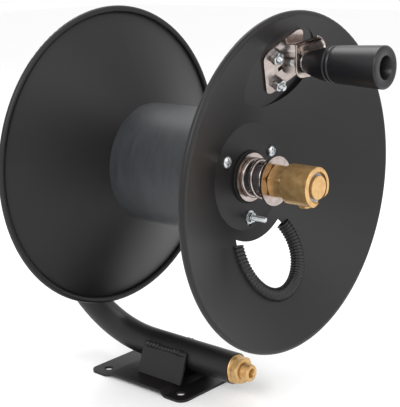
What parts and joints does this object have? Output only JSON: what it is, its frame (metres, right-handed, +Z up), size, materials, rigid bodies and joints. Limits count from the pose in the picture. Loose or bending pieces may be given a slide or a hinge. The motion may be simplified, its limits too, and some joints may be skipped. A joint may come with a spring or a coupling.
{
  "type": "hose reel",
  "caption": "Hand-cranked pressure-hose reel: dished discs and drum on a bent tube stand, with spring drag brake, brass swivel and free-turning crank grip.",
  "frame": {"origin": "middle of the four base bolts, on the underside of the base plate", "axes": "+X along the reel's axis toward the swivel and crank, +Z up, +Y to the right seen from the swivel end looking back along -X"},
  "size_m": [0.4173, 0.305, 0.3725],
  "materials": {
    "powder_steel": "satin black powder coat",
    "drum_steel": "blue-black coat with scuffs",
    "nickel_plate": "nickel plated, bright",
    "zinc_plate": "bright zinc plated",
    "brass": "turned brass",
    "plain_steel": "turned steel",
    "loom_plastic": "black corrugated nylon",
    "grip_plastic": "black moulded plastic, satin",
    "lining": "black friction fibre",
    "seal_rubber": "black rubber",
    "bearing_nylon": "natural nylon"
  },
  "bodies": {
    "stand": {"stand_tube": "powder_steel", "base_plate": "powder_steel", "saddle_skirt_left": "powder_steel", "saddle_skirt_right": "powder_steel", "inlet_fitting": "brass", "inlet_braze": "brass", "axle": "plain_steel", "rear_thrust_washer": "bearing_nylon", "inner_washer": "nickel_plate", "drag_spring": "nickel_plate", "outer_washer": "nickel_plate", "swivel_stem": "brass", "stem_seals": "seal_rubber", "swivel_clip": "plain_steel"},
    "reel": {"drum_shell": "drum_steel", "rear_disc": "powder_steel", "front_disc": "powder_steel", "rear_hub_plate": "plain_steel", "front_hub_plate": "plain_steel", "rear_bush": "bearing_nylon", "front_bush": "bearing_nylon", "rear_hub_screws": "zinc_plate", "rear_hub_nuts": "zinc_plate", "front_hub_screws": "zinc_plate", "front_hub_nuts": "zinc_plate", "hub_stud": "zinc_plate", "hub_stud_washer": "zinc_plate", "hub_stud_nut": "zinc_plate", "opening_trim": "loom_plastic", "brake_lining": "lining", "crank_bracket": "nickel_plate", "bracket_bolts": "zinc_plate", "bracket_nuts": "zinc_plate", "crank_rear_lug": "nickel_plate", "crank_yoke": "nickel_plate", "crank_bolt": "zinc_plate", "crank_nut": "zinc_plate", "yoke_washer": "zinc_plate", "grip_washer": "zinc_plate"},
    "swivel": {"swivel_body": "brass"},
    "crank_grip": {"grip": "grip_plastic"}
  },
  "joints": [
    {"name": "reel_spin", "type": "hinge", "parent": "stand", "child": "reel", "pos_m": [0.0515, 0, 0.22], "axis": [1, 0, 0], "continuous": true},
    {"name": "swivel_turn", "type": "hinge", "parent": "stand", "child": "swivel", "pos_m": [0.1709, 0, 0.22], "axis": [1, 0, 0], "continuous": true},
    {"name": "grip_spin", "type": "hinge", "parent": "reel", "child": "crank_grip", "pos_m": [0.2, 0.014, 0.3265], "axis": [1, 0, 0], "continuous": true}
  ],
  "couplings": [
    {"joint": "swivel_turn", "follows": "reel_spin", "ratio": 1}
  ]
}
